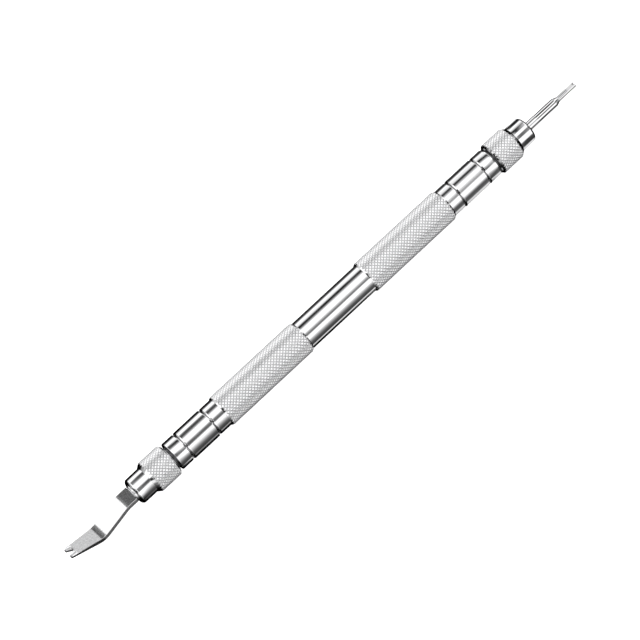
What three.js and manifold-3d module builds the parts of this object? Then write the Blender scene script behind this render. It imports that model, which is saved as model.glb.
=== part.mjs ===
// Double-ended spring bar tool: a knurled steel handle with a small collet chuck at each end.
// One chuck holds a wide cranked fork blade, the other a fine fork bit.
// Millimetres. The handle's axis runs along X, the wide fork points to -X and the fine fork to +X.
// +Z is up, and the tool lies on its two clamp nuts, so z = 0 is the surface it lies on.

import * as THREE from 'three';
import { mergeVertices } from 'three/addons/utils/BufferGeometryUtils.js';
import Module from 'manifold-3d';

const wasm = await Module();
wasm.setup();

// ---------------------------------------------------------------- driving dimensions

const SEGMENTS = 36; // round faces; a multiple of 4, so that the extents along Y and Z are true
const FIT = 0.04; // clearance between pieces that are pressed or screwed together
const SLIP = 0.1; // clearance between pieces that slide or turn on each other
const MARGIN = 1; // how far a cutting shape reaches past what it cuts
const JOINT_GAP = 0.14; // the groove that shows at each joint of the tube, ferrules and flanges

// Stations along the axis, measured outwards from the middle of the handle.
const MIDDLE_END = 8.5; // where the bare middle of the tube ends and a grip sleeve starts
const GRIP_END = 30.5;
const TUBE_END = 33.4;
const FERRULE_END = 40.3;
const FLANGE_END = 43.3;
const NUT_START = 43.8;
const COLLAR_END = 49.8;
const NOSE_END = 53.5;

// Radii.
const TUBE_R = 3.2;
const TUBE_BORE_R = 2.1;
const GRIP_R = 3.53;
const FERRULE_R = 3.25;
const COLLAR_R = 3.6;
const NOSE_R = 2.92;
const STUD_R = 2.45; // the M5 x 0.5 thread, at its crest
const THREAD_DEPTH = 0.3;
const BIT_R = 1.0; // the 2 mm shank that both bits have

// The chamfer at each joint of the tube, ferrules and flanges: along the axis, and towards it.
const EDGE_RUN = 0.25;
const EDGE_DROP = 0.16;

// Chuck body: a stem in the tube, a flange that shows, and a threaded stud in the clamp nut.
const STEM_LENGTH = 9;
const STUD_END = 48.9;
const COLLET_BORE_R = 1.6;
const STEM_BORE_R = 1.15;
const COLLET_BORE_START = 44.2;

// Collet: a split sleeve whose front cone is squeezed by the cone inside the clamp nut.
const COLLET_START = 45.0;
const COLLET_HEAD = 49.1;
const COLLET_CONE = 49.7;
const COLLET_FRONT = 51.2;
const COLLET_HEAD_R = 2.3;
const COLLET_FRONT_R = 1.75;
const SLIT_WIDTH = 0.3;
const SLIT_START = 46.6;
const SLIT_COUNT = 4;

// Nose of the clamp nut.
const NOSE_BORE_R = 2.0;

// Fine fork bit.
const SHANK_START = 46.2;
const SHANK_END = 61.35;
const PIN_START = 62.3;
const PIN_R = 0.6;
const FLAT_START = 65.0;
const FINE_TIP = 67.1;
const FLAT_THICKNESS = 0.8;
const FINE_ROLL = THREE.MathUtils.degToRad(-22); // how the bit is turned in its collet
const FINE_NOTCH_WIDTH = 0.5;
const FINE_NOTCH_DEPTH = 0.6;

// Wide fork: a round holder in the collet, and a cranked strip blade set in its head.
const HOLDER_HEAD_START = 51.6;
const HOLDER_HEAD_R = 1.9;
const HOLDER_FRONT = NOSE_END + 0.35;
const TANG_WIDTH = 2.4;
const TANG_DEPTH = 1.8;
const BLADE_WIDTH = 3.65;
const BLADE_TIP_WIDTH = 2.55;
const BLADE_THICKNESS = 1.15;
const BLADE_TIP_THICKNESS = 0.55;
const ROOT_LENGTH = 2.5; // straight, along the axis
const CRANK_RUN = 7.0; // along the axis, while the strip falls
const FORK_RUN = 7.35; // along the axis, while it rises again
const CRANK_FALL = 2.35;
const ROOT_BEND_R = 2.5; // of the strip's middle line, as is the next
const ELBOW_R = 4;
const BLADE_ROLL = THREE.MathUtils.degToRad(20); // how the blade is turned in its collet
const WIDE_NOTCH_WIDTH = 1.3;
const WIDE_NOTCH_DEPTH = 1.3;
const WIDE_NOTCH_ROOT_R = 0.25;
const TINE_TIP_R = 0.3;
const TINE_LEAN = 0.05; // how much shorter each tine is at the notch than at its outer corner

const ROOT_BEND = HOLDER_FRONT + ROOT_LENGTH;
const ELBOW = ROOT_BEND + CRANK_RUN;
const WIDE_TIP = ELBOW + FORK_RUN;

// ---------------------------------------------------------------- materials

const steel = (color, roughness) => new THREE.MeshStandardMaterial({ color, roughness, metalness: 1 });

const POLISHED = steel(0xd9dadb, 0.12);
const KNURLED = steel(0xc4c5c6, 0.32);
const COLLET_STEEL = steel(0xa5a7a9, 0.3);
const BLADE_STEEL = steel(0xcccdce, 0.22);

// ---------------------------------------------------------------- helpers

// A solid turned about the X axis, from a closed outline of [x, radius] points.
function turned(outline) {
  const points = outline.map(([x, r]) => new THREE.Vector2(r, x));
  points.push(points[0].clone());
  // LatheGeometry faces outwards when the outline runs this way round.
  if (THREE.ShapeUtils.area(points) < 0) points.reverse();
  const open = outline.some(([, r]) => r === 0);
  const profile = open ? startOnAxis(points) : points;
  return new THREE.LatheGeometry(profile, SEGMENTS).rotateZ(-Math.PI / 2);
}

// The same outline without the stretch that lies along the axis, so that it starts and ends there.
function startOnAxis(points) {
  const loop = points.slice(0, -1);
  const first = loop.findIndex((p, i) => p.x === 0 && loop[(i + 1) % loop.length].x > 0);
  return loop.map((_, i) => loop[(first + i) % loop.length]);
}

function solid(geometry) {
  const bare = geometry.clone();
  bare.deleteAttribute('normal');
  bare.deleteAttribute('uv');
  const merged = mergeVertices(bare, 1e-4);
  return new wasm.Manifold(new wasm.Mesh({
    numProp: 3,
    vertProperties: merged.attributes.position.array,
    triVerts: new Uint32Array(merged.index.array),
  }));
}

function geometryOf(manifold) {
  const mesh = manifold.getMesh();
  const geometry = new THREE.BufferGeometry();
  geometry.setAttribute('position', new THREE.BufferAttribute(mesh.vertProperties, 3));
  geometry.setIndex(new THREE.BufferAttribute(mesh.triVerts, 1));
  geometry.computeVertexNormals();
  return geometry;
}

function box(length, width, height, x, y = 0, z = 0) {
  return new THREE.BoxGeometry(length, width, height).translate(x, y, z);
}

function add(group, name, geometry, material) {
  const mesh = new THREE.Mesh(geometry, material);
  mesh.name = name;
  group.add(mesh);
}

// ---------------------------------------------------------------- handle

function tubeGeometry() {
  const end = TUBE_END - JOINT_GAP / 2;
  const edgeR = TUBE_R - EDGE_DROP;
  return turned([
    [-end, TUBE_BORE_R], [-end, edgeR], [-end + EDGE_RUN, TUBE_R],
    [end - EDGE_RUN, TUBE_R], [end, edgeR], [end, TUBE_BORE_R],
  ]);
}

// Everything from here on is built for the end that points to +X.

function gripGeometry() {
  const chamferLength = 0.5;
  const edgeR = TUBE_R + 0.08;
  const bore = TUBE_R + FIT;
  return turned([
    [MIDDLE_END, bore], [MIDDLE_END, edgeR], [MIDDLE_END + chamferLength, GRIP_R],
    [GRIP_END - chamferLength, GRIP_R], [GRIP_END, edgeR], [GRIP_END, bore],
  ]);
}

function ferruleGeometry() {
  const start = TUBE_END + JOINT_GAP / 2;
  const end = FERRULE_END - JOINT_GAP / 2;
  const edgeR = FERRULE_R - EDGE_DROP;
  const bore = TUBE_BORE_R;
  return turned([
    [start, bore], [start, edgeR], [start + EDGE_RUN, FERRULE_R],
    [end - EDGE_RUN, FERRULE_R], [end, edgeR], [end, bore],
  ]);
}

function chuckBodyGeometry() {
  const edgeR = TUBE_R - EDGE_DROP;
  const frontChamfer = 0.05;
  const stemR = TUBE_BORE_R - FIT;
  const stemStart = FERRULE_END - STEM_LENGTH;
  const flangeStart = FERRULE_END + JOINT_GAP / 2;
  const reliefLength = 0.3;
  const reliefEnd = NUT_START + reliefLength;
  const rootR = STUD_R - THREAD_DEPTH;
  return turned([
    [stemStart, STEM_BORE_R], [stemStart, stemR], [flangeStart, stemR],
    [flangeStart, edgeR], [flangeStart + EDGE_RUN, TUBE_R],
    [FLANGE_END - frontChamfer, TUBE_R], [FLANGE_END, TUBE_R - frontChamfer],
    [FLANGE_END, rootR], [reliefEnd, rootR], [reliefEnd + THREAD_DEPTH, STUD_R],
    [STUD_END - THREAD_DEPTH, STUD_R], [STUD_END, rootR],
    [STUD_END, COLLET_BORE_R], [COLLET_BORE_START, COLLET_BORE_R], [COLLET_BORE_START, STEM_BORE_R],
  ]);
}

// ---------------------------------------------------------------- chuck

// The collar turns on the stud's thread, and its inner cone closes the collet.
function clampNutGeometry() {
  const innerChamfer = 0.45;
  const outerChamfer = 0.85;
  const shoulder = 0.1;
  const noseFillet = 0.3;
  const boreChamfer = 0.1;
  const coneFront = COLLET_FRONT - 0.4;
  const bore = STUD_R + SLIP;
  const coneGap = SLIP;
  return turned([
    [NUT_START, bore], [NUT_START, COLLAR_R - innerChamfer], [NUT_START + innerChamfer, COLLAR_R],
    [COLLAR_END - outerChamfer, COLLAR_R], [COLLAR_END, NOSE_R + shoulder], [COLLAR_END, NOSE_R],
    [NOSE_END - noseFillet, NOSE_R], [NOSE_END, NOSE_R - noseFillet],
    [NOSE_END, NOSE_BORE_R + boreChamfer], [NOSE_END - boreChamfer, NOSE_BORE_R],
    [coneFront + coneGap, NOSE_BORE_R], [COLLET_CONE + coneGap, bore],
  ]);
}

function colletGeometry() {
  const tailR = COLLET_BORE_R - SLIP;
  const bore = BIT_R + FIT;
  const sleeve = turned([
    [COLLET_START, bore], [COLLET_START, tailR], [COLLET_HEAD, tailR],
    [COLLET_HEAD, COLLET_HEAD_R], [COLLET_CONE, COLLET_HEAD_R],
    [COLLET_FRONT, COLLET_FRONT_R], [COLLET_FRONT, bore],
  ]);
  const slitLength = COLLET_FRONT - SLIT_START + MARGIN;
  let cut = solid(sleeve);
  for (let i = 0; i < SLIT_COUNT / 2; i++) {
    const slit = box(slitLength, SLIT_WIDTH, 3 * COLLET_HEAD_R, SLIT_START + slitLength / 2);
    slit.rotateX(Math.PI / 4 + i * 2 * Math.PI / SLIT_COUNT);
    cut = cut.subtract(solid(slit));
  }
  return geometryOf(cut);
}

// ---------------------------------------------------------------- fine fork bit

function fineForkGeometry() {
  const chamfer = 0.2;
  const blank = turned([
    [SHANK_START, 0], [SHANK_START, BIT_R - chamfer], [SHANK_START + chamfer, BIT_R],
    [SHANK_END, BIT_R], [PIN_START, PIN_R], [FINE_TIP, PIN_R], [FINE_TIP, 0],
  ]);
  const flatLength = FINE_TIP - FLAT_START + MARGIN;
  const flatDepth = 1;
  const flatWidth = 2 * PIN_R + MARGIN;
  const notchLength = FINE_NOTCH_DEPTH + MARGIN;
  const flatOffset = (FLAT_THICKNESS + flatDepth) / 2;
  const notchCentre = FINE_TIP - FINE_NOTCH_DEPTH + FINE_NOTCH_WIDTH / 2;
  const notchR = FINE_NOTCH_WIDTH / 2;
  const notchRoot = new THREE.CylinderGeometry(notchR, notchR, flatWidth, SEGMENTS / 3);
  notchRoot.rotateX(Math.PI / 2).translate(notchCentre, 0, 0);
  let cut = solid(blank).subtract(solid(notchRoot));
  cut = cut.subtract(solid(box(notchLength, FINE_NOTCH_WIDTH, flatWidth, notchCentre + notchLength / 2)));
  for (const side of [-1, 1]) {
    const flat = box(flatLength, flatWidth, flatDepth, FLAT_START + flatLength / 2, 0, side * flatOffset);
    cut = cut.subtract(solid(flat));
  }
  return geometryOf(cut);
}

// ---------------------------------------------------------------- wide fork

// The strip's middle line, as [x, z, slope angle] from the tang to the tip, with round bends.
function bladeLine() {
  const fall = Math.atan2(CRANK_FALL, CRANK_RUN);
  const rise = Math.atan2(CRANK_FALL, FORK_RUN);
  const bends = [
    { x: ROOT_BEND, z: 0, radius: ROOT_BEND_R, before: 0, after: -fall },
    { x: ELBOW, z: -CRANK_FALL, radius: ELBOW_R, before: -fall, after: rise },
  ];
  const line = [[HOLDER_FRONT - TANG_DEPTH, 0, 0]];
  const steps = 6;
  for (const { x, z, radius, before, after } of bends) {
    const turn = after - before;
    const side = Math.sign(turn);
    const back = radius * Math.tan(Math.abs(turn) / 2);
    const centreX = x - back * Math.cos(before) - side * radius * Math.sin(before);
    const centreZ = z - back * Math.sin(before) + side * radius * Math.cos(before);
    for (let i = 0; i <= steps; i++) {
      const slope = before + turn * i / steps;
      line.push([
        centreX + side * radius * Math.sin(slope),
        centreZ - side * radius * Math.cos(slope),
        slope,
      ]);
    }
  }
  line.push([WIDE_TIP, 0, rise]);
  return line;
}

// Full thickness up to the elbow, then ground thinner towards the tip.
function bladeThickness(x) {
  const share = THREE.MathUtils.clamp((x - ELBOW) / FORK_RUN, 0, 1);
  return THREE.MathUtils.lerp(BLADE_THICKNESS, BLADE_TIP_THICKNESS, share);
}

// The strip seen from the side, as a slab that is wider than the strip.
function bladeSide() {
  const offset = ([x, z, slope], side) => {
    const half = side * bladeThickness(x) / 2;
    return new THREE.Vector2(x - half * Math.sin(slope), z + half * Math.cos(slope));
  };
  const line = bladeLine();
  const upper = line.map((p) => offset(p, 1));
  const lower = line.map((p) => offset(p, -1)).reverse();
  const width = BLADE_WIDTH + 2 * MARGIN;
  const outline = new THREE.Shape([...lower, ...upper]);
  const slab = new THREE.ExtrudeGeometry(outline, { depth: width, bevelEnabled: false });
  return slab.rotateX(Math.PI / 2).translate(0, width / 2, 0);
}

// The strip seen from above: a narrow tang, a parallel root, and a tapered end with a notch.
function bladePlan() {
  const half = BLADE_WIDTH / 2;
  const tip = BLADE_TIP_WIDTH / 2;
  const tang = TANG_WIDTH / 2;
  const notch = WIDE_NOTCH_WIDTH / 2;
  const shoulder = HOLDER_FRONT + FIT;
  const tangEnd = HOLDER_FRONT - TANG_DEPTH - MARGIN;
  const tineEnd = WIDE_TIP - TINE_LEAN;
  const notchRoot = WIDE_TIP - WIDE_NOTCH_DEPTH + WIDE_NOTCH_ROOT_R;
  const plan = new THREE.Shape();
  plan.moveTo(tangEnd, -tang);
  plan.lineTo(shoulder, -tang);
  plan.lineTo(shoulder, -half);
  plan.lineTo(ELBOW, -half);
  plan.lineTo(WIDE_TIP - TINE_TIP_R, -tip);
  plan.quadraticCurveTo(WIDE_TIP, -tip, WIDE_TIP, -tip + TINE_TIP_R);
  plan.lineTo(tineEnd, -notch);
  plan.lineTo(notchRoot, -WIDE_NOTCH_ROOT_R);
  plan.absarc(notchRoot, 0, WIDE_NOTCH_ROOT_R, -Math.PI / 2, Math.PI / 2, true);
  plan.lineTo(tineEnd, notch);
  plan.lineTo(WIDE_TIP, tip - TINE_TIP_R);
  plan.quadraticCurveTo(WIDE_TIP, tip, WIDE_TIP - TINE_TIP_R, tip);
  plan.lineTo(ELBOW, half);
  plan.lineTo(shoulder, half);
  plan.lineTo(shoulder, tang);
  plan.lineTo(tangEnd, tang);
  const depth = 4 * CRANK_FALL;
  const slab = new THREE.ExtrudeGeometry(plan, { depth, bevelEnabled: false, curveSegments: 4 });
  return slab.translate(0, 0, -depth / 2);
}

function bladeGeometry() {
  return geometryOf(solid(bladeSide()).intersect(solid(bladePlan())));
}

function holderGeometry() {
  const chamfer = 0.15;
  const plug = turned([
    [SHANK_START, 0], [SHANK_START, BIT_R - chamfer], [SHANK_START + chamfer, BIT_R],
    [HOLDER_HEAD_START, BIT_R], [HOLDER_HEAD_START, HOLDER_HEAD_R],
    [HOLDER_FRONT - chamfer, HOLDER_HEAD_R], [HOLDER_FRONT, HOLDER_HEAD_R - chamfer], [HOLDER_FRONT, 0],
  ]);
  const slotLength = 2 * TANG_DEPTH;
  const slotStart = HOLDER_FRONT - TANG_DEPTH - FIT;
  const slot = box(slotLength, TANG_WIDTH + 2 * FIT, BLADE_THICKNESS + 2 * FIT, slotStart + slotLength / 2);
  return geometryOf(solid(plug).subtract(solid(slot)));
}

// ---------------------------------------------------------------- assembly

// One end of the handle: grip, ferrule, chuck body, collet and clamp nut.
function chuckEnd(end) {
  const group = new THREE.Group();
  add(group, end + '_grip_sleeve', gripGeometry(), KNURLED);
  add(group, end + '_end_ferrule', ferruleGeometry(), POLISHED);
  add(group, end + '_chuck_body', chuckBodyGeometry(), POLISHED);
  add(group, end + '_collet', colletGeometry(), COLLET_STEEL);
  add(group, end + '_clamp_nut', clampNutGeometry(), KNURLED);
  return group;
}

const tool = new THREE.Group();
add(tool, 'handle_tube', tubeGeometry(), POLISHED);

const fineFork = new THREE.Group();
add(fineFork, 'fine_fork_bit', fineForkGeometry(), BLADE_STEEL);
fineFork.rotation.x = FINE_ROLL;

const fineEnd = chuckEnd('fine');
fineEnd.add(fineFork);

const wideFork = new THREE.Group();
add(wideFork, 'wide_fork_holder', holderGeometry(), BLADE_STEEL);
add(wideFork, 'wide_fork_blade', bladeGeometry(), BLADE_STEEL);
wideFork.rotation.x = BLADE_ROLL;

const wideEnd = chuckEnd('wide');
wideEnd.add(wideFork);
wideEnd.rotation.z = Math.PI;

tool.add(fineEnd, wideEnd);
// The origin is under the middle of the whole tool, on the surface that it lies on.
tool.position.set((WIDE_TIP - FINE_TIP) / 2, 0, COLLAR_R);

export default tool;
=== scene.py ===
"""A double-ended spring bar tool in polished steel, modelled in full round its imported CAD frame.

The handle's axis runs along X. The wide cranked fork points to -X and the fine fork to +X.
Each end is built once in its own space: the origin is the middle of the handle, X is the station
outwards along the axis, and the wide end is then turned half a turn about Z.
Every length is in metres; MM lets the small ones be written in millimetres.
"""

import math

import bmesh
import bpy
from mathutils import Matrix, Vector


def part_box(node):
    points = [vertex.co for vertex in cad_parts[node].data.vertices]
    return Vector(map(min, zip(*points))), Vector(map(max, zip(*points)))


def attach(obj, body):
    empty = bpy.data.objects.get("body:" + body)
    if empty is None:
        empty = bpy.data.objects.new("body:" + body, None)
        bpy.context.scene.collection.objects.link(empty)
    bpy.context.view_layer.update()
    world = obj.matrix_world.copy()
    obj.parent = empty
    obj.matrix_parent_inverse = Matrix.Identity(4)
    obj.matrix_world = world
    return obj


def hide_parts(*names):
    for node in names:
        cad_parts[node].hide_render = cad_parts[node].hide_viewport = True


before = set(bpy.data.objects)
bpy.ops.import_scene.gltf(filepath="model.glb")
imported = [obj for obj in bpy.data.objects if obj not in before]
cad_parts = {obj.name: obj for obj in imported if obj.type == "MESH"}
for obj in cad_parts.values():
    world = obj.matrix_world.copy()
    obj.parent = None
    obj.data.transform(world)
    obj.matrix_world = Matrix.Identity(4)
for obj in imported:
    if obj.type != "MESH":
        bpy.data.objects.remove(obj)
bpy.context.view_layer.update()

MM = 0.001
scene = bpy.context.scene

# ---------------------------------------------------------------- sizes that the frame gives

tube_low, tube_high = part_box("handle_tube")
MIDDLE = (tube_low + tube_high) / 2
AXIS_HEIGHT = MIDDLE.z
TUBE_END = (tube_high.x - tube_low.x) / 2
TUBE_R = (tube_high.z - tube_low.z) / 2


def stations(node):
    """How far out from the middle of the handle a CAD node starts and ends."""
    low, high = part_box(node)
    return sorted((abs(low.x - MIDDLE.x), abs(high.x - MIDDLE.x)))


def radius_of(node):
    low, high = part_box(node)
    return (high.z - low.z) / 2


GRIP_START, GRIP_END = stations("fine_grip_sleeve")
GRIP_R = radius_of("fine_grip_sleeve")
FERRULE_START, FERRULE_END = stations("fine_end_ferrule")
FERRULE_R = radius_of("fine_end_ferrule")
STEM_START, STUD_END = stations("fine_chuck_body")
NUT_START, NOSE_END = stations("fine_clamp_nut")
COLLAR_R = radius_of("fine_clamp_nut")
COLLET_START, COLLET_FRONT = stations("fine_collet")
COLLET_HEAD_R = radius_of("fine_collet")
BIT_START, FINE_TIP = stations("fine_fork_bit")
BIT_R = radius_of("fine_fork_bit")
HOLDER_FRONT = stations("wide_fork_holder")[1]
WIDE_TIP = stations("wide_fork_blade")[1]

# ---------------------------------------------------------------- sizes that no node's box gives

TUBE_BORE_R = 2.1 * MM
JOINT_GAP = FERRULE_START - TUBE_END
FLANGE_LENGTH = 3.0 * MM
COLLAR_LENGTH = 6.0 * MM
NOSE_R = 2.92 * MM
NOSE_BORE_R = 2.0 * MM
STUD_R = 2.45 * MM
STUD_BORE_R = 1.6 * MM
STEM_BORE_R = 1.15 * MM
THREAD_PITCH = 0.5 * MM
THREAD_DEPTH = 0.3 * MM
KNURL_DIAMOND = 0.81 * MM  # from corner to corner
KNURL_DEPTH = 0.15 * MM
KNURL_FLAT = 0.36  # share of a diamond that is left flat on top
KNURL_CLEAR = 0.02 * MM  # how far a blank stands clear of the knurl that is cut from it
FIT = 0.04 * MM  # between a bore and the piece inside it
BEYOND = 1.0 * MM  # how far a cutter reaches past the steel

FLANGE_START = FERRULE_END + JOINT_GAP
FLANGE_END = FERRULE_END + FLANGE_LENGTH
COLLAR_END = NUT_START + COLLAR_LENGTH

# ---------------------------------------------------------------- turned shapes

TURN_SEGMENTS = 192
ARC_STEP = math.radians(15)
ARC_STEPS_AT_LEAST = 3
ON_AXIS = 1e-9  # a radius below this is a point on the axis
SECOND_FINISH = 1  # the material number of knurls, threads and bores


def rounded(outline):
    """A closed outline of (station, radius, rounding) as points, with arcs at its rounded corners."""
    points = []
    for i, (station, radius, *rounding) in enumerate(outline):
        corner = Vector((station, radius))
        if not rounding:
            points.append(corner)
            continue
        before = (Vector(outline[i - 1][:2]) - corner).normalized()
        after = (Vector(outline[(i + 1) % len(outline)][:2]) - corner).normalized()
        half = before.angle(after) / 2
        centre = corner + (before + after).normalized() * rounding[0] / math.sin(half)
        start = corner + before * rounding[0] / math.tan(half) - centre
        end = corner + after * rounding[0] / math.tan(half) - centre
        turn = start.angle_signed(end)
        steps = max(ARC_STEPS_AT_LEAST, round(abs(turn) / ARC_STEP))
        for step in range(steps + 1):
            points.append(centre + Matrix.Rotation(-turn * step / steps, 2) @ start)
    return points


def turned(outline):
    """A closed outline of (station, radius, rounding) turned about the axis, as a bmesh."""
    bm = bmesh.new()
    rings = []
    for point in rounded(outline):
        if point.y < ON_AXIS:
            rings.append([bm.verts.new((point.x, 0, 0))])
            continue
        ring = []
        for i in range(TURN_SEGMENTS):
            angle = math.tau * i / TURN_SEGMENTS
            ring.append(bm.verts.new((point.x, point.y * math.cos(angle), point.y * math.sin(angle))))
        rings.append(ring)
    for ring, following in zip(rings, rings[1:] + rings[:1]):
        bridge(bm, ring, following)
    return mesh_of(bm)


def bridge(bm, ring, following):
    """Faces between two rings, either of which may be a single point on the axis."""
    count = max(len(ring), len(following))
    if count == 1:
        return
    for i in range(count):
        j = (i + 1) % count
        corners = [ring[i % len(ring)], ring[j % len(ring)]]
        corners += [following[j % len(following)], following[i % len(following)]]
        bm.faces.new(list(dict.fromkeys(corners)))


def mesh_of(bm):
    bmesh.ops.recalc_face_normals(bm, faces=bm.faces)
    mesh = bpy.data.meshes.new("shape")
    bm.to_mesh(mesh)
    bm.free()
    return mesh


def combined(mesh, tool, operation):
    """The mesh cut by or limited to another closed mesh. Both are used up.

    The faces keep their material numbers.
    """
    work = bpy.data.objects.new("work", mesh)
    other = bpy.data.objects.new("other", tool)
    for obj in (work, other):
        scene.collection.objects.link(obj)
        while len(obj.data.materials) < 2:
            obj.data.materials.append(None)
    modifier = work.modifiers.new("boolean", "BOOLEAN")
    modifier.object = other
    modifier.operation = operation
    modifier.solver = "MANIFOLD"
    depsgraph = bpy.context.evaluated_depsgraph_get()
    result = bpy.data.meshes.new_from_object(work.evaluated_get(depsgraph))
    for obj in (work, other):
        bpy.data.objects.remove(obj)
    for used in (mesh, tool):
        bpy.data.meshes.remove(used)
    return result


def knurled_rod(start, end, radius):
    """A closed rod covered in diamond pyramids with flat tops, a little longer than start to end."""
    around = round(math.tau * radius / KNURL_DIAMOND)
    spacing = math.tau / around
    row_step = spacing * radius / 2
    spare_rows = 5
    spare_before = 2  # how many of the spare rows come before the start
    rows = math.ceil((end - start) / row_step) + spare_rows
    first = start - spare_before * row_step
    floor_r = radius - KNURL_DEPTH
    bm = bmesh.new()

    def vertex(row, place, r):
        angle = place * spacing
        return bm.verts.new((first + row * row_step, r * math.cos(angle), r * math.sin(angle)))

    # The corners of the diamonds, each row half a diamond on from the last.
    corners = []
    for row in range(rows + 1):
        corners.append([vertex(row, i + row % 2 / 2, floor_r) for i in range(around)])
    for row in range(1, rows):
        shift = row % 2
        for i in range(around):
            over = (i + shift) % around
            base = [
                corners[row][i],
                corners[row + 1][over],
                corners[row][(i + 1) % around],
                corners[row - 1][over],
            ]
            centre = i + shift / 2 + 0.5
            offsets = ((0, -0.5), (1, 0), (0, 0.5), (-1, 0))
            top = [vertex(row + KNURL_FLAT * a, centre + KNURL_FLAT * b, radius) for a, b in offsets]
            bm.faces.new(top)
            for k in range(4):
                bm.faces.new((base[k], base[(k + 1) % 4], top[(k + 1) % 4], top[k]))
    # Half diamonds close the two ends.
    for row, beside in ((0, 1), (rows, rows - 1)):
        for i in range(around):
            over = (i + row % 2) % around
            bm.faces.new((corners[row][i], corners[row][(i + 1) % around], corners[beside][over]))
        bm.faces.new(corners[row])
    for face in bm.faces:
        face.material_index = SECOND_FINISH
    return mesh_of(bm)


def threaded_rod(start, end, clear_start, clear_r):
    """A closed rod with a screw thread from start to end, and a plain thick part before it."""
    around = 96
    steps = 8  # rows in one turn of the thread
    root_r = STUD_R - THREAD_DEPTH
    crest_height = THREAD_DEPTH * 0.97  # the crests stay just inside the blank
    peak = 1.35  # of a ridge, which is cut off at 1 and so has a flat crest
    slope = 3.4
    bm = bmesh.new()

    def ring(station, radius_at):
        made = []
        for i in range(around):
            angle = math.tau * i / around
            r = radius_at(angle)
            made.append(bm.verts.new((station, r * math.cos(angle), r * math.sin(angle))))
        return made

    rings = [ring(clear_start, lambda _: clear_r), ring(start, lambda _: clear_r)]
    rows = math.ceil((end - start) / THREAD_PITCH * steps)
    for row in range(rows + 1):
        station = start + row * THREAD_PITCH / steps

        def radius_at(angle, station=station):
            phase = ((station - start) / THREAD_PITCH - angle / math.tau) % 1
            ridge = min(1.0, max(0.0, peak - abs(phase - 0.5) * slope))
            return root_r + crest_height * ridge

        rings.append(ring(station, radius_at))
    for one, following in zip(rings, rings[1:]):
        bridge(bm, one, following)
    bm.faces.new(rings[0])
    bm.faces.new(rings[-1])
    for face in bm.faces:
        face.material_index = SECOND_FINISH
    return mesh_of(bm)


def block(low, high):
    """A box between two corners."""
    bm = bmesh.new()
    bmesh.ops.create_cube(bm, size=1)
    for v in bm.verts:
        v.co = [a + (b - a) * (c + 0.5) for a, b, c in zip(low, high, v.co)]
    return mesh_of(bm)


def prism(outline, low, high):
    """An outline of (x, z) points, from y = low to y = high."""
    bm = bmesh.new()
    sides = [[bm.verts.new((x, y, z)) for x, z in outline] for y in (low, high)]
    for side in sides:
        bm.faces.new(side)
    bridge(bm, *sides)
    return mesh_of(bm)


# ---------------------------------------------------------------- node trees


class Nodes:
    """Adds nodes to a tree.

    A keyword names an input, or gives its number after an i. Its value is a number, a colour or an
    output.
    """

    def __init__(self, tree):
        self.tree = tree
        tree.nodes.clear()

    def add(self, kind, settings=None, **inputs):
        node = self.tree.nodes.new("ShaderNode" + kind)
        for name, value in (settings or {}).items():
            setattr(node, name, value)
        for name, value in inputs.items():
            key = int(name[1:]) if name[1:].isdigit() else name.replace("_", " ")
            if isinstance(value, bpy.types.NodeSocket):
                self.tree.links.new(value, node.inputs[key])
            else:
                node.inputs[key].default_value = value
        return node

    def math(self, operation, a, b=0.0):
        return self.add("Math", {"operation": operation}, i0=a, i1=b).outputs[0]

    def ramp(self, factor, stops):
        """A smooth ramp through (position, brightness) stops."""
        node = self.add("ValToRGB", Fac=factor)
        elements = node.color_ramp.elements
        while len(elements) < len(stops):
            elements.new(0.5)
        for element, (position, level) in zip(elements, stops):
            element.position = position
            element.color = (level, level, level, 1)
        return node.outputs["Color"]

    def noise(self, vector, scale, detail=2.0, roughness=0.5):
        node = self.add("TexNoise", Vector=vector, Scale=scale, Detail=detail, Roughness=roughness)
        return node.outputs["Fac"]

    def spread(self, value, low, high, from_low=0.0, from_high=1.0):
        """A value mapped from one range to another, and kept inside it."""
        node = self.add("MapRange", Value=value, i1=from_low, i2=from_high, i3=low, i4=high)
        return node.outputs["Result"]

    def mix(self, share, first, second):
        """The first colour where the share is 0, and the second where it is 1."""
        node = self.add("Mix", {"data_type": "RGBA"}, i0=share, i6=first, i7=second)
        return node.outputs[2]

    def bump(self, height, strength, distance, **under):
        """Relief from a height. Normal=... gives the relief that it lies on."""
        node = self.add("Bump", Strength=strength, Distance=distance, Height=height, **under)
        return node.outputs["Normal"]

    def grey(self, shade, blue=1.0):
        """A grey, whose blue is the shade times a factor."""
        bluer = self.math("MULTIPLY", shade, blue)
        return self.add("CombineColor", Red=shade, Green=shade, Blue=bluer).outputs["Color"]


def material_tree(name):
    material = bpy.data.materials.new(name)
    material.use_nodes = True
    return material, Nodes(material.node_tree)


def tool_space(nodes):
    """Object coordinates with the handle's axis through their origin."""
    coordinates = nodes.add("TexCoord").outputs["Object"]
    centred = nodes.add("VectorMath", {"operation": "SUBTRACT"}, i0=coordinates, i1=(0, 0, AXIS_HEIGHT))
    return centred.outputs["Vector"]


def stretched(nodes, vector, scale):
    """A vector scaled along each axis. A small scale draws a texture out along that axis."""
    product = nodes.add("VectorMath", {"operation": "MULTIPLY"}, i0=vector, i1=scale)
    return product.outputs["Vector"]


def finish_metal(nodes, colour, roughness, normal):
    """Ends a metal's tree."""
    shader = nodes.add("BsdfPrincipled", Base_Color=colour, Metallic=1.0, Roughness=roughness, Normal=normal)
    nodes.add("OutputMaterial", Surface=shader.outputs["BSDF"])


STEEL_BLUE = 1.01  # how much bluer than grey the steel is


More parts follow.
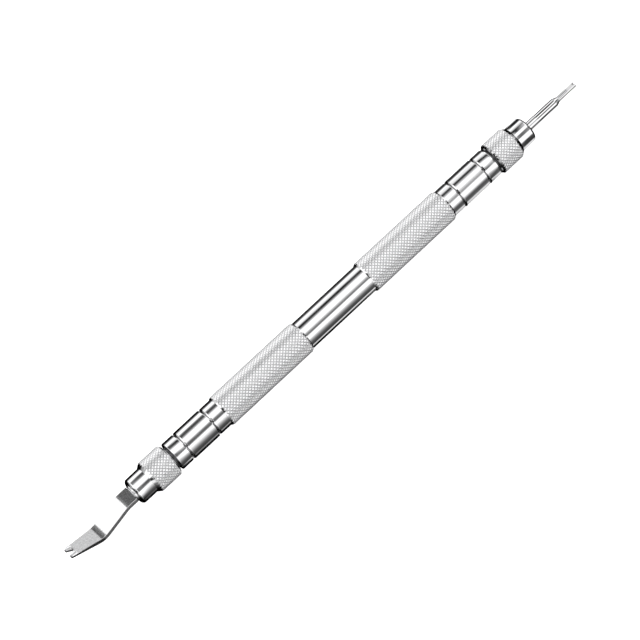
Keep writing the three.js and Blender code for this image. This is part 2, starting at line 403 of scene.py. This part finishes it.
def polished_steel(name, dull):
    """Bright turned steel: faint lathe marks round the axis, and a polish that is a little uneven."""
    material, nodes = material_tree(name)
    place = tool_space(nodes)
    marks = nodes.noise(stretched(nodes, place, (1, 0.03, 0.03)), scale=9000, detail=3)
    uneven = nodes.noise(place, scale=260, detail=3)
    smears = nodes.noise(stretched(nodes, place, (0.35, 1, 1)), scale=700, detail=4)
    roughness = nodes.spread(smears, 0.5 * dull, dull, from_low=0.35, from_high=0.7)
    colour = nodes.grey(nodes.spread(uneven, 0.62, 0.70), STEEL_BLUE)
    waves = nodes.bump(uneven, strength=0.25, distance=0.004 * MM)
    lathed = nodes.bump(marks, strength=0.12, distance=0.001 * MM, Normal=waves)
    finish_metal(nodes, colour, roughness, lathed)
    return material


def knurled_steel(name, radius):
    """The same steel cut into diamonds: satin, with painted shade that darkens its colour towards the bottom
    of the grooves.
    """
    groove_floor = radius - 0.85 * KNURL_DEPTH
    diamond_top = radius - 0.15 * KNURL_DEPTH
    material, nodes = material_tree(name)
    place = tool_space(nodes)
    parts = nodes.add("SeparateXYZ", Vector=place)
    across = nodes.add("CombineXYZ", Y=parts.outputs["Y"], Z=parts.outputs["Z"])
    length = nodes.add("VectorMath", {"operation": "LENGTH"}, i0=across.outputs["Vector"])
    # Painted shade: the colour darkens with depth into the grooves, where shade falls between the diamonds.
    # The dirt noise only varies the tone at random.
    height = nodes.spread(length.outputs["Value"], 0, 1, from_low=groove_floor, from_high=diamond_top)
    dirt = nodes.noise(place, scale=1500, detail=3)
    shade = nodes.math("MULTIPLY", nodes.spread(height, 0.54, 0.93), nodes.spread(dirt, 0.9, 1.1))
    colour = nodes.grey(shade, STEEL_BLUE)
    grain = nodes.noise(place, scale=12000, detail=2)
    rough = nodes.bump(grain, strength=0.3, distance=0.003 * MM)
    finish_metal(nodes, colour, nodes.spread(dirt, 0.36, 0.46), rough)
    return material


def collet_steel():
    """Hardened steel, darker and duller than the rest."""
    material, nodes = material_tree("collet_steel")
    place = tool_space(nodes)
    uneven = nodes.noise(place, scale=900, detail=4)
    marks = nodes.noise(stretched(nodes, place, (1, 0.05, 0.05)), scale=6000, detail=2)
    colour = nodes.grey(nodes.spread(uneven, 0.16, 0.28), blue=1.03)
    lathed = nodes.bump(marks, strength=0.3, distance=0.003 * MM)
    finish_metal(nodes, colour, nodes.spread(uneven, 0.22, 0.38), lathed)
    return material


def blade_steel():
    """Ground spring steel: fine scratches along the strip and a faint mottle."""
    material, nodes = material_tree("blade_steel")
    place = tool_space(nodes)
    scratches = nodes.noise(stretched(nodes, place, (0.12, 1, 1)), scale=9000, detail=4, roughness=0.65)
    mottle = nodes.noise(stretched(nodes, place, (0.7, 1, 1)), scale=4200, detail=3)
    shade = nodes.math("ADD", nodes.spread(scratches, 0.54, 0.74), nodes.spread(mottle, -0.16, 0.16))
    colour = nodes.grey(shade, STEEL_BLUE)
    waves = nodes.bump(mottle, strength=0.5, distance=0.006 * MM)
    scratched = nodes.bump(scratches, strength=0.4, distance=0.002 * MM, Normal=waves)
    finish_metal(nodes, colour, nodes.spread(mottle, 0.12, 0.24), scratched)
    return material


MATERIALS = {
    "polished_steel": polished_steel("polished_steel", dull=0.13),
    "bit_steel": polished_steel("bit_steel", dull=0.06),
    "grip_knurl": knurled_steel("grip_knurl", GRIP_R),
    "nut_knurl": knurled_steel("nut_knurl", COLLAR_R),
    "collet_steel": collet_steel(),
    "blade_steel": blade_steel(),
}

# ---------------------------------------------------------------- pieces

SHARP_ANGLE = math.radians(32)


def end_matrix(end):
    """From an end's own space to the frame."""
    half_turn = math.pi if end == "wide" else 0.0
    return Matrix.Translation(MIDDLE) @ Matrix.Rotation(half_turn, 4, "Z")


def add_piece(node, mesh, body, finishes, matrix):
    """Shows a mesh in place of a CAD node, riding on that node's body.

    The mesh's faces number its finishes.
    """
    mesh.transform(matrix)
    mesh.shade_smooth()
    mesh.set_sharp_from_angle(angle=SHARP_ANGLE)
    numbers = [face.material_index for face in mesh.polygons]
    mesh.materials.clear()
    for name in finishes:
        mesh.materials.append(MATERIALS[name])
    mesh.polygons.foreach_set("material_index", numbers)
    piece = bpy.data.objects.new(node + "_finished", mesh)
    mesh.name = piece.name
    scene.collection.objects.link(piece)
    weighted = piece.modifiers.new("even_shading", "WEIGHTED_NORMAL")
    weighted.keep_sharp = True
    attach(piece, body)
    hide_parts(node)
    return piece


def eased(start, end, radius):
    """The outer outline of a turned part with a small chamfer at each of its two edges."""
    drop = 0.16 * MM
    run = 0.25 * MM
    arc = 0.15 * MM
    edge_arc = 0.04 * MM
    return [
        (start, radius - drop, edge_arc),
        (start + run, radius, arc),
        (end - run, radius, arc),
        (end, radius - drop, edge_arc),
    ]


def handle_tube():
    return turned([
        (-TUBE_END, TUBE_BORE_R),
        *eased(-TUBE_END, TUBE_END, TUBE_R),
        (TUBE_END, TUBE_BORE_R),
    ])


def grip_sleeve():
    """A sleeve over the tube, with a smooth turned chamfer at each end of its knurl."""
    bore = TUBE_R + FIT
    chamfer = 0.5 * MM
    edge_r = GRIP_R - 0.25 * MM
    clear_r = GRIP_R + KNURL_CLEAR
    blank = turned([
        (GRIP_START, bore),
        (GRIP_START, edge_r),
        (GRIP_START + chamfer, clear_r),
        (GRIP_END - chamfer, clear_r),
        (GRIP_END, edge_r),
        (GRIP_END, bore),
    ])
    return combined(blank, knurled_rod(GRIP_START, GRIP_END, GRIP_R), "INTERSECT")


def end_ferrule():
    return turned([
        (FERRULE_START, TUBE_BORE_R),
        *eased(FERRULE_START, FERRULE_END, FERRULE_R),
        (FERRULE_END, TUBE_BORE_R),
    ])


def chuck_body():
    """The stem in the tube, the flange that shows, and the threaded stud that the nut runs on."""
    stem_r = TUBE_BORE_R - FIT
    wide_bore_start = 44.2 * MM
    last_band = 0.3 * MM  # keeps the shading even next to the flange's rounded edge
    blank = turned([
        (STEM_START, STEM_BORE_R),
        (STEM_START, stem_r),
        (FLANGE_START, stem_r),
        *eased(FLANGE_START, FLANGE_END, TUBE_R)[:2],
        (FLANGE_END - last_band, TUBE_R),
        (FLANGE_END, TUBE_R, 0.12 * MM),
        (FLANGE_END, STUD_R),
        (STUD_END, STUD_R, THREAD_DEPTH),
        (STUD_END, STUD_BORE_R),
        (wide_bore_start, STUD_BORE_R),
        (wide_bore_start, STEM_BORE_R),
    ])
    thread = threaded_rod(FLANGE_END, STUD_END + BEYOND, STEM_START - BEYOND, 2 * TUBE_R)
    shape = combined(blank, thread, "INTERSECT")
    # Like the thread, the stem inside the tube and the bores take the darker, duller collet steel, so the
    # bottom of each joint gap shows dark.
    for face in shape.polygons:
        if face.center.yz.length < TUBE_BORE_R:
            face.material_index = SECOND_FINISH
    return shape


def clamp_nut():
    """A knurled collar with polished chamfers, and the smooth nose that closes the collet."""
    bore = STUD_R + 0.1 * MM
    cone_start = 49.8 * MM
    cone_end = 50.9 * MM
    back_edge_r = COLLAR_R - 0.45 * MM
    back = 0.45 * MM
    front = 0.85 * MM
    nose_chamfer = 0.42 * MM
    clear_r = COLLAR_R + KNURL_CLEAR
    blank = turned([
        (NUT_START, bore),
        (NUT_START, back_edge_r, 0.08 * MM),
        (NUT_START + back, clear_r),
        (COLLAR_END - front, clear_r),
        (COLLAR_END, NOSE_R + 0.1 * MM, 0.05 * MM),
        (COLLAR_END, NOSE_R),
        (NOSE_END - nose_chamfer, NOSE_R, 0.4 * MM),
        (NOSE_END, NOSE_R - nose_chamfer, 0.25 * MM),
        (NOSE_END, NOSE_BORE_R, 0.1 * MM),
        (cone_end, NOSE_BORE_R),
        (cone_start, bore),
    ])
    rod = knurled_rod(NUT_START, NOSE_END, COLLAR_R)
    return combined(blank, rod, "INTERSECT")


def collet():
    """A split sleeve: four slits run back from its front cone."""
    tail_r = 1.5 * MM
    head_start = 49.1 * MM
    cone_start = 49.7 * MM
    front_r = 1.75 * MM
    bore = BIT_R + FIT
    slit_start = 46.6 * MM
    slit_width = 0.3 * MM
    slits = 4
    shape = turned([
        (COLLET_START, bore),
        (COLLET_START, tail_r, 0.1 * MM),
        (head_start, tail_r),
        (head_start, COLLET_HEAD_R, 0.08 * MM),
        (cone_start, COLLET_HEAD_R, 0.08 * MM),
        (COLLET_FRONT, front_r, 0.15 * MM),
        (COLLET_FRONT, bore, 0.08 * MM),
    ])
    reach = 2 * COLLET_HEAD_R
    for i in range(slits // 2):
        low = (slit_start, -slit_width / 2, -reach)
        high = (COLLET_FRONT + BEYOND, slit_width / 2, reach)
        cutter = block(low, high)
        cutter.transform(Matrix.Rotation(math.pi / 4 + math.pi * i / 2, 4, "X"))
        shape = combined(shape, cutter, "DIFFERENCE")
    return shape


# ---------------------------------------------------------------- fine fork

SHANK_END = 61.35 * MM
PIN_START = 62.3 * MM
PIN_R = 0.6 * MM
FLAT_START = 65.0 * MM
FLAT_THICKNESS = 0.8 * MM
FINE_ROLL = math.radians(-22)
FINE_NOTCH_WIDTH = 0.5 * MM
FINE_NOTCH_DEPTH = 0.6 * MM


def fine_fork():
    """A stepped pin with two flats at its tip, and a round-bottomed notch between two short tines."""
    shape = turned([
        (BIT_START, 0),
        (BIT_START, BIT_R, 0.2 * MM),
        (SHANK_END, BIT_R, 0.2 * MM),
        (PIN_START, PIN_R, 0.4 * MM),
        (FINE_TIP, PIN_R, 0.1 * MM),
        (FINE_TIP, 0),
    ])
    # Each flat is ground by a small wheel, so that it runs out in a curve.
    wheel_r = 0.4 * MM
    wheel_arc = math.radians(60)
    wheel_steps = 8
    half = FLAT_THICKNESS / 2
    far = FINE_TIP + BEYOND
    runout = []
    for step in range(wheel_steps + 1):
        angle = wheel_arc * step / wheel_steps
        runout.append((FLAT_START - wheel_r * math.sin(angle), half + wheel_r * (1 - math.cos(angle))))
    for side in (1, -1):
        outline = [(far, half), *runout, (far, runout[-1][1])]
        cutter = prism([(x, side * z) for x, z in outline], -BEYOND, BEYOND)
        shape = combined(shape, cutter, "DIFFERENCE")
    notch_r = FINE_NOTCH_WIDTH / 2
    notch_steps = 12
    root = FINE_TIP - FINE_NOTCH_DEPTH + notch_r
    notch = [(far, notch_r)]
    for step in range(notch_steps + 1):
        angle = math.pi / 2 + math.pi * step / notch_steps
        notch.append((root + notch_r * math.cos(angle), notch_r * math.sin(angle)))
    notch.append((far, -notch_r))
    cutter = prism(notch, -2 * BEYOND, 2 * BEYOND)
    cutter.transform(Matrix.Rotation(math.pi / 2, 4, "X"))
    shape = combined(shape, cutter, "DIFFERENCE")
    shape.transform(Matrix.Rotation(FINE_ROLL, 4, "X"))
    return shape


# ---------------------------------------------------------------- wide fork

HOLDER_HEAD_START = 51.6 * MM
HOLDER_HEAD_R = 1.9 * MM
TANG_WIDTH = 2.4 * MM
TANG_DEPTH = 1.8 * MM
BLADE_WIDTH = 3.65 * MM
BLADE_TIP_WIDTH = 2.55 * MM
BLADE_THICKNESS = 1.15 * MM
BLADE_TIP_THICKNESS = 0.55 * MM
ROOT_LENGTH = 2.5 * MM
CRANK_RUN = 7.0 * MM
CRANK_FALL = 2.35 * MM
ROOT_BEND_R = 2.5 * MM
ELBOW_R = 4.0 * MM
BLADE_ROLL = math.radians(20)
WIDE_NOTCH_WIDTH = 1.3 * MM
WIDE_NOTCH_DEPTH = 1.3 * MM
WIDE_NOTCH_ROOT_R = 0.25 * MM
TINE_TIP_R = 0.35 * MM

ROOT_BEND = HOLDER_FRONT + ROOT_LENGTH
ELBOW = ROOT_BEND + CRANK_RUN


def bend(corner, before, after, radius):
    """Where an arc between two slopes starts and ends, and its centre, for a corner of a line."""
    back = radius * math.tan(abs(after - before) / 2)
    side = math.copysign(1, after - before)
    start = corner - back * Vector((math.cos(before), math.sin(before)))
    end = corner + back * Vector((math.cos(after), math.sin(after)))
    centre = start + side * radius * Vector((-math.sin(before), math.cos(before)))
    return start.x, end.x, centre, side


def blade_line():
    """A function that gives the height and slope of the strip's middle line at a station."""
    fall = -math.atan2(CRANK_FALL, CRANK_RUN)
    rise = math.atan2(CRANK_FALL, WIDE_TIP - ELBOW)
    corners = (
        (Vector((ROOT_BEND, 0)), 0.0, fall, ROOT_BEND_R),
        (Vector((ELBOW, -CRANK_FALL)), fall, rise, ELBOW_R),
    )

    def at(station):
        height, slope = 0.0, 0.0
        for corner, before, after, radius in corners:
            start, end, centre, side = bend(corner, before, after, radius)
            if station >= end:
                slope = after
                height = corner.y + math.tan(after) * (station - corner.x)
            elif station > start:
                lean = (station - centre.x) / (side * radius)
                slope = math.asin(lean)
                height = centre.y - side * radius * math.cos(slope)
        return height, slope

    return at


def blade_plan():
    """The strip seen from above: a narrow tang, a parallel root, and a tapered end with a notch."""
    half = BLADE_WIDTH / 2
    tip = BLADE_TIP_WIDTH / 2
    tang = TANG_WIDTH / 2
    notch = WIDE_NOTCH_WIDTH / 2
    shoulder = HOLDER_FRONT + FIT
    tang_end = HOLDER_FRONT - TANG_DEPTH
    tine_lean = 0.05 * MM
    root_centre = WIDE_TIP - WIDE_NOTCH_DEPTH + WIDE_NOTCH_ROOT_R
    root_steps = 6
    side = [
        (tang_end, tang),
        (shoulder, tang),
        (shoulder, half),
        (ELBOW, half),
        (WIDE_TIP, tip, TINE_TIP_R),
        (WIDE_TIP - tine_lean, notch, 0.15 * MM),
    ]
    root = []
    for step in range(root_steps + 1):
        angle = math.pi / 2 + math.pi / 2 * step / root_steps
        root.append((
            root_centre + WIDE_NOTCH_ROOT_R * math.cos(angle),
            WIDE_NOTCH_ROOT_R * math.sin(angle),
        ))
    mirrored = [(x, -y, *r) for x, y, *r in reversed(side)]
    return rounded([*side, *root, *[(x, -y) for x, y in reversed(root[:-1])], *mirrored])


def wide_blade():
    """A strip with eased edges, sliced finely along its length, then bent and ground thinner to its tip."""
    edge = 0.06 * MM
    slice_step = 0.2 * MM
    level = 1e-7  # two heights closer than this are the same
    bm = bmesh.new()
    face = bm.faces.new([bm.verts.new((x, y, -BLADE_THICKNESS / 2)) for x, y in blade_plan()])
    extruded = bmesh.ops.extrude_face_region(bm, geom=[face])
    top = [v for v in extruded["geom"] if isinstance(v, bmesh.types.BMVert)]
    bmesh.ops.translate(bm, verts=top, vec=(0, 0, BLADE_THICKNESS))
    bmesh.ops.recalc_face_normals(bm, faces=bm.faces)
    rims = [e for e in bm.edges if abs(e.verts[0].co.z - e.verts[1].co.z) < level]
    bmesh.ops.bevel(bm, geom=rims, offset=edge, segments=1, affect="EDGES")
    slices = round((WIDE_TIP - HOLDER_FRONT) / slice_step)
    for i in range(-slices, slices):
        cut = (ELBOW + i * slice_step, 0, 0)
        everything = bm.verts[:] + bm.edges[:] + bm.faces[:]
        bmesh.ops.bisect_plane(bm, geom=everything, plane_co=cut, plane_no=(1, 0, 0), dist=1e-8)
    line = blade_line()
    for v in bm.verts:
        height, slope = line(v.co.x)
        share = min(1.0, max(0.0, (v.co.x - ELBOW) / (WIDE_TIP - ELBOW)))
        thickness = 1 + share * (BLADE_TIP_THICKNESS / BLADE_THICKNESS - 1)
        offset = v.co.z * thickness
        station = min(WIDE_TIP, v.co.x - offset * math.sin(slope))
        v.co = (station, v.co.y, height + offset * math.cos(slope))
    shape = mesh_of(bm)
    shape.transform(Matrix.Rotation(BLADE_ROLL, 4, "X"))
    return shape


def fork_holder():
    """A round plug in the collet, whose head fills the nose and holds the strip in a slot."""
    crown = 0.05 * MM
    shape = turned([
        (BIT_START, 0),
        (BIT_START, BIT_R, 0.2 * MM),
        (HOLDER_HEAD_START, BIT_R),
        (HOLDER_HEAD_START, HOLDER_HEAD_R),
        (HOLDER_FRONT - crown, HOLDER_HEAD_R, 0.28 * MM),
        (HOLDER_FRONT, 0),
    ])
    slot = block(
        (HOLDER_FRONT - TANG_DEPTH - FIT, -TANG_WIDTH / 2 - FIT, -BLADE_THICKNESS / 2 - FIT),
        (HOLDER_FRONT + BEYOND, TANG_WIDTH / 2 + FIT, BLADE_THICKNESS / 2 + FIT),
    )
    shape = combined(shape, slot, "DIFFERENCE")
    shape.transform(Matrix.Rotation(BLADE_ROLL, 4, "X"))
    return shape


def build_tool():
    polished = ["polished_steel"]
    blade = ["blade_steel"]
    to_frame = end_matrix("fine")
    add_piece("handle_tube", handle_tube(), "handle", polished, to_frame)
    add_piece("fine_fork_bit", fine_fork(), "fine_bit", ["bit_steel"], to_frame)
    for end in ("fine", "wide"):
        to_frame = end_matrix(end)
        both_ends = (
            ("grip_sleeve", grip_sleeve, "handle", "knurled_steel", ["polished_steel", "grip_knurl"]),
            ("end_ferrule", end_ferrule, "handle", "polished_steel", polished),
            ("chuck_body", chuck_body, "handle", "polished_steel", ["polished_steel", "collet_steel"]),
            ("collet", collet, end + "_collet", "collet_steel", ["collet_steel"]),
            ("clamp_nut", clamp_nut, end + "_nut", "knurled_steel", ["polished_steel", "nut_knurl"]),
        )
        for name, make, body, slot, finishes in both_ends:
            add_piece(f"{end}_{name}", make(), body, finishes, to_frame)
    add_piece("wide_fork_holder", fork_holder(), "wide_bit", blade, to_frame)
    add_piece("wide_fork_blade", wide_blade(), "wide_bit", blade, to_frame)


build_tool()

# ---------------------------------------------------------------- camera, floor and light


def add_camera():
    """Looks down on the tool from the wide fork's side, so that the tool crosses the frame."""
    azimuth = math.radians(-44.15)
    elevation = math.radians(72.8)
    distance = 0.596
    lead = -3.7 * MM  # the view's centre lies towards the wide end
    target = MIDDLE + Vector((lead, 0, 0))
    back = Vector((
        math.sin(azimuth) * math.cos(elevation),
        -math.cos(azimuth) * math.cos(elevation),
        math.sin(elevation),
    ))
    data = bpy.data.cameras.new("camera")
    data.sensor_width = 36
    data.lens = 172
    camera = bpy.data.objects.new("camera", data)
    camera.rotation_mode = "QUATERNION"
    camera.location = target + distance * back
    camera.rotation_quaternion = (-back).to_track_quat("-Z", "Y")
    scene.collection.objects.link(camera)
    scene.camera = camera


def add_floor():
    """A plain pale floor with a curved-up rim far off. The steel doesn't reflect it."""
    flat_r = 1.5
    curve_r = 1.0
    rim_height = 4.0
    around = 96
    steps = 12
    rings = [(0.0, 0.0), (flat_r, 0.0)]
    for step in range(1, steps + 1):
        angle = math.radians(90) * step / steps
        rings.append((flat_r + curve_r * math.sin(angle), curve_r * (1 - math.cos(angle))))
    rings.append((flat_r + curve_r, rim_height))
    turns = [math.tau * i / around for i in range(around)]
    bm = bmesh.new()
    made = []
    for radius, height in rings:
        angles = turns if radius else turns[:1]
        made.append([bm.verts.new((radius * math.cos(a), radius * math.sin(a), height)) for a in angles])
    for ring, following in zip(made, made[1:]):
        bridge(bm, ring, following)
    mesh = bpy.data.meshes.new("floor")
    bm.to_mesh(mesh)
    bm.free()
    mesh.shade_smooth()
    floor = bpy.data.objects.new("floor", mesh)
    material, nodes = material_tree("white_paper")
    grain = nodes.noise(nodes.add("TexCoord").outputs["Object"], scale=400, detail=3)
    shader = nodes.add(
        "BsdfPrincipled",
        Base_Color=nodes.grey(nodes.spread(grain, 0.93, 0.95)),
        Roughness=0.9,
        Emission_Color=(1, 1, 1, 1),
        Emission_Strength=0.7,
    )
    nodes.add("OutputMaterial", Surface=shader.outputs["BSDF"])
    mesh.materials.append(material)
    floor.visible_glossy = False
    floor.visible_diffuse = False
    floor.visible_shadow = False
    scene.collection.objects.link(floor)


# The light tent round the tool. Each table holds (angle, level) pairs: an angle about the tool's axis in
# degrees, where 0 is straight up and positive leans to +Y, and how bright the tent is there. TENT then
# says where along the axis each table takes over from the one before: from the first X of a direction to
# the second. Towards the camera, the wide nut and ferrule reflect X = 0.12 to 0.15, the middle 0.21, the
# fine ferrule and nut 0.27 to 0.29, the fine bit 0.3 to 0.31 and the wide fork's plate 0.6. Polish that
# isn't perfect blends neighbours, and chamfers reflect the two far ends.
DARK = ((-180, 0.03), (180, 0.03))
FAR_WIDE = (
    (-180, 0.0), (-136, 0.0), (-122, 0.1), (-100, 0.3), (-85, 0.7), (-60, 0.9), (-55, 0.03), (-20, 0.03),
    (-15, 1.0), (66, 1.0), (71, 0.05), (84, 0.05), (90, 0.6), (96, 0.4), (110, 0.0), (180, 0.0),
)
NEAR_WIDE = (
    (-180, 0.0), (-136, 0.0), (-120, 0.03), (-95, 0.15), (-80, 0.5), (-60, 1.0), (-42, 1.0), (-37, 0.02),
    (9, 0.02), (14, 1.0), (56, 1.0), (72, 0.4), (96, 0.3), (110, 0.0), (180, 0.0),
)
OPEN_WIDE = (
    (-180, 0.0), (-136, 0.0), (-120, 0.03), (-95, 0.2), (-80, 0.6), (-65, 1.0), (66, 1.0), (78, 0.6),
    (96, 0.5), (110, 0.0), (180, 0.0),
)
BLADE_ROOT = (
    (-180, 0.0), (-110, 0.0), (-90, 0.1), (-60, 0.9), (-40, 1.0), (-34, 0.15), (-12, 0.15), (-2, 1.0),
    (27, 1.0), (38, 0.3), (47, 0.15), (61, 0.14), (70, 1.0), (92, 1.0), (106, 0.0), (180, 0.0),
)
WIDE_END = (
    (-180, 0.0), (-137, 0.0), (-131, 0.06), (-124, 0.09), (-114, 0.04), (-104, 0.05), (-90, 0.09),
    (-78, 0.24), (-68, 0.45), (-58, 0.72), (-48, 1.0), (-40, 1.0), (-34, 0.3), (-28, 0.08), (-14, 0.05),
    (-8, 0.5), (-2, 1.0), (27, 1.0), (34, 0.5), (41, 0.14), (48, 0.07), (61, 0.05), (66, 0.2),
    (72, 1.0), (92, 1.0), (100, 0.4), (110, 0.05), (115, 0.0), (180, 0.0),
)
MIDDLE_PART = (
    (-180, 0.0), (-138, 0.0), (-134, 0.1), (-130, 0.95), (-125, 0.7), (-119, 0.06), (-112, 0.04),
    (-98, 0.06), (-90, 0.11), (-78, 0.27), (-68, 0.55), (-60, 1.0), (-38, 1.0), (-33, 0.2), (-28, 0.1),
    (-21, 0.28), (-14, 0.55), (-7, 1.0), (25, 1.0), (33, 0.42), (40, 0.1), (48, 0.0), (56, 0.0),
    (61, 0.35), (67, 0.85), (77, 0.8), (86, 1.0), (92, 0.9), (100, 0.3), (110, 0.03), (180, 0.0),
)
FINE_END = (
    (-180, 0.7), (-158, 0.7), (-148, 0.3), (-138, 0.7), (-129, 0.6), (-122, 0.15), (-112, 0.1),
    (-98, 0.07), (-90, 0.09), (-82, 0.2), (-72, 0.7), (-64, 1.0), (-38, 1.0), (-32, 0.45), (-27, 0.3),
    (-20, 0.42), (-10, 0.65), (0, 1.0), (20, 0.95), (27, 0.5), (35, 0.18), (42, 0.03), (49, 0.02),
    (56, 0.35), (61, 0.75), (75, 0.75), (88, 1.0), (98, 0.25), (107, 0.03), (114, 0.0), (180, 0.2),
)
FINE_BIT = (
    (-180, 0.7), (-128, 0.6), (-122, 0.03), (-79, 0.03), (-72, 0.9), (-38, 1.0), (-33, 0.1), (-10, 0.1),
    (-5, 1.0), (13, 1.0), (19, 0.0), (47, 0.0), (54, 0.6), (62, 0.68), (66, 1.0), (79, 1.0), (86, 0.0),
    (122, 0.0), (128, 0.5), (180, 0.7),
)
FORK_PLATE = (
    (-180, 0.0), (-126, 0.0), (-85, 0.1), (-72, 1.0), (-42, 1.0), (-36, 0.3), (-10, 0.3), (-5, 1.0),
    (35, 1.0), (45, 0.48), (66, 0.5), (72, 1.0), (80, 1.0), (90, 0.2), (110, 0.0), (180, 0.0),
)
FAR_FINE = (
    (-180, 0.0), (-120, 0.0), (-98, 0.1), (-60, 0.02), (-55, 1.0), (-45, 1.0), (-40, 0.02), (14, 0.02),
    (20, 1.0), (56, 1.0), (72, 0.4), (96, 0.3), (106, 0.0), (180, 0.0),
)
TENT = (
    (-0.96, -0.93, FAR_WIDE),
    (-0.86, -0.84, NEAR_WIDE),
    (-0.58, -0.52, OPEN_WIDE),
    (-0.21, -0.19, BLADE_ROOT),
    (0.03, 0.08, WIDE_END),
    (0.14, 0.21, MIDDLE_PART),
    (0.22, 0.27, FINE_END),
    (0.295, 0.3, FINE_BIT),
    (0.34, 0.48, FORK_PLATE),
    (0.66, 0.75, FAR_FINE),
)
TENT_STRENGTH = 1.75


def light_tent():
    """A world that is bright and dark by direction, from the tables."""
    world = bpy.data.worlds.new("light_tent")
    world.use_nodes = True
    scene.world = world
    nodes = Nodes(world.node_tree)
    direction = nodes.add("SeparateXYZ", Vector=nodes.add("TexCoord").outputs["Generated"])
    along = direction.outputs["X"]
    angle = nodes.math("ARCTAN2", direction.outputs["Y"], direction.outputs["Z"])
    turn = nodes.math("ADD", nodes.math("DIVIDE", angle, math.tau), 0.5)

    def levels(by_angle):
        return nodes.ramp(turn, [(0.5 + degrees / 360, brightness) for degrees, brightness in by_angle])

    level = levels(DARK)
    for start, end, by_angle in TENT:
        share = nodes.spread(along, 0.0, 1.0, from_low=start, from_high=end)
        level = nodes.mix(share, level, levels(by_angle))
    background = nodes.add("Background", Color=level, Strength=TENT_STRENGTH)
    nodes.add("OutputWorld", Surface=background.outputs["Background"])


add_camera()
add_floor()
light_tent()
scene.view_settings.view_transform = "Standard"
